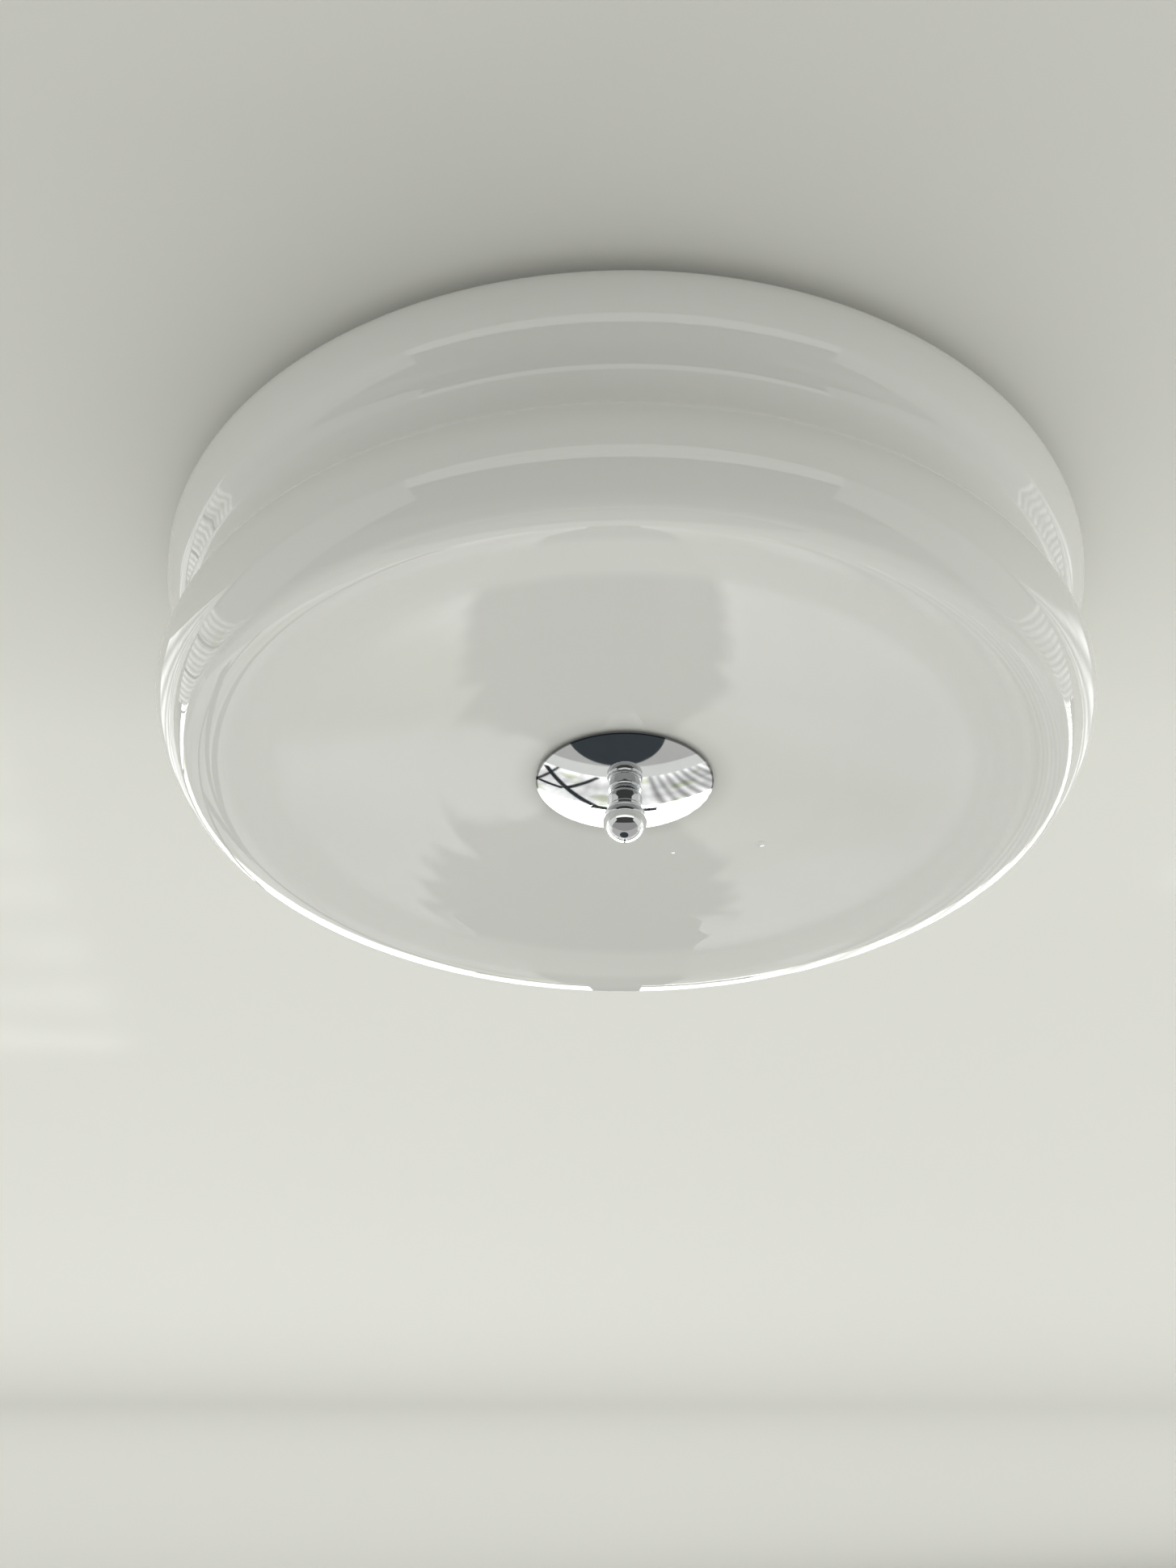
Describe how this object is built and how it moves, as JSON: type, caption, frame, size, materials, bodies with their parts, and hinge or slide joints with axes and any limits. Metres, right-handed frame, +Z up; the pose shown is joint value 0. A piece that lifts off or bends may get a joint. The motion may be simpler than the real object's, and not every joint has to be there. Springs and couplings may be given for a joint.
{
  "type": "flush mount ceiling light",
  "caption": "Round flush mount ceiling light: a two-tier opal glass bowl held by a chrome cap and ball finial, over a steel pan with screw-in bulbs.",
  "frame": {"origin": "centre of the ceiling pan's back face, which lies on the ceiling, midway between the crossbar's two slots", "axes": "+Z up into the ceiling along the rod, so the light hangs below zero; +X along the crossbar, to the right in the picture; -Y towards the viewer"},
  "size_m": [0.4039, 0.404, 0.1365],
  "materials": {
    "opal_glass": "glossy milk-white opal glass, fire-polished on both faces",
    "white_steel": "smooth white powder coat on pressed steel",
    "foam_gasket": "matt off-white closed-cell foam",
    "zinc_steel": "bright zinc plate with fine rolling lines",
    "nickel_brass": "satin nickel plate",
    "rod_steel": "zinc-plated threaded tube",
    "clear_bush": "milky soft silicone",
    "soft_gasket": "matt off-white silicone",
    "chrome_plate": "mirror-bright chrome plate",
    "holder_ceramic": "white glazed porcelain",
    "shell_brass": "plain rolled brass",
    "black_rubber": "matt black rubber",
    "brown_insulation": "soft glossy brown insulation",
    "blue_insulation": "soft glossy blue insulation",
    "earth_insulation": "green insulation with a yellow stripe",
    "terminal_plastic": "off-white moulded plastic",
    "brass_clamp": "slotted brass clamp screws",
    "tinned_copper": "tinned copper tag",
    "bulb_cap_metal": "thin rolled screw cap",
    "bulb_insulator": "black vitrite",
    "bulb_solder": "dull solder dome",
    "bulb_plastic": "white moulded plastic",
    "bulb_board": "white solder mask with yellow light chips",
    "bulb_diffuser": "satin opal plastic"
  },
  "bodies": {
    "fixture": {"bracket_nuts": "zinc_steel", "bracket_screws": "zinc_steel", "ceiling_pan": "white_steel", "centre_rod": "rod_steel", "crossbar": "zinc_steel", "crossbar_bolts": "zinc_steel", "crossbar_lock_nuts": "zinc_steel", "earth_lead": "earth_insulation", "earth_lugs": "tinned_copper", "earth_screws": "zinc_steel", "holder_1_body": "holder_ceramic", "holder_1_bracket": "zinc_steel", "holder_1_contact": "shell_brass", "holder_1_shell": "shell_brass", "holder_2_body": "holder_ceramic", "holder_2_bracket": "zinc_steel", "holder_2_contact": "shell_brass", "holder_2_shell": "shell_brass", "holder_3_body": "holder_ceramic", "holder_3_bracket": "zinc_steel", "holder_3_contact": "shell_brass", "holder_3_shell": "shell_brass", "holder_screws": "zinc_steel", "lead_grommets": "black_rubber", "live_leads": "brown_insulation", "live_terminal": "terminal_plastic", "neutral_leads": "blue_insulation", "neutral_terminal": "terminal_plastic", "pan_cap_nuts": "nickel_brass", "pan_washers": "zinc_steel", "rim_gasket": "foam_gasket", "rod_nuts": "zinc_steel", "rod_washers": "zinc_steel", "terminal_fixings": "zinc_steel", "terminal_screws": "brass_clamp"},
    "shade": {"glass_shade": "opal_glass", "glass_bush": "clear_bush"},
    "cap": {"chrome_cap": "chrome_plate", "cap_gasket": "soft_gasket"},
    "finial": {"finial_collar": "chrome_plate", "finial_ball": "chrome_plate"},
    "bulb_1": {"bulb_1_board": "bulb_board", "bulb_1_cap": "bulb_cap_metal", "bulb_1_globe": "bulb_diffuser", "bulb_1_housing": "bulb_plastic", "bulb_1_insulator": "bulb_insulator", "bulb_1_tip": "bulb_solder"},
    "bulb_2": {"bulb_2_board": "bulb_board", "bulb_2_cap": "bulb_cap_metal", "bulb_2_globe": "bulb_diffuser", "bulb_2_housing": "bulb_plastic", "bulb_2_insulator": "bulb_insulator", "bulb_2_tip": "bulb_solder"},
    "bulb_3": {"bulb_3_board": "bulb_board", "bulb_3_cap": "bulb_cap_metal", "bulb_3_globe": "bulb_diffuser", "bulb_3_housing": "bulb_plastic", "bulb_3_insulator": "bulb_insulator", "bulb_3_tip": "bulb_solder"}
  },
  "joints": [
    {"name": "shade_lowering", "type": "slide", "parent": "fixture", "child": "shade", "axis": [0, 0, -1], "range_m": [0, 0.15]},
    {"name": "cap_lowering", "type": "slide", "parent": "shade", "child": "cap", "axis": [0, 0, -1], "range_m": [0, 0.012]},
    {"name": "finial_unscrewing", "type": "hinge", "parent": "cap", "child": "finial", "pos_m": [0, 0, -0.118], "axis": [0, 0, -1], "range_deg": [0, 2881]},
    {"name": "bulb_1_removal", "type": "slide", "parent": "fixture", "child": "bulb_1", "axis": [0, 1, 0], "range_m": [0, 0.03]},
    {"name": "bulb_2_removal", "type": "slide", "parent": "fixture", "child": "bulb_2", "axis": [-0.866, -0.5, 0], "range_m": [0, 0.03]},
    {"name": "bulb_3_removal", "type": "slide", "parent": "fixture", "child": "bulb_3", "axis": [0.866, -0.5, 0], "range_m": [0, 0.03]}
  ],
  "couplings": [
    {"joint": "finial_unscrewing", "follows": "cap_lowering", "rad_per_m": 4188.8}
  ]
}
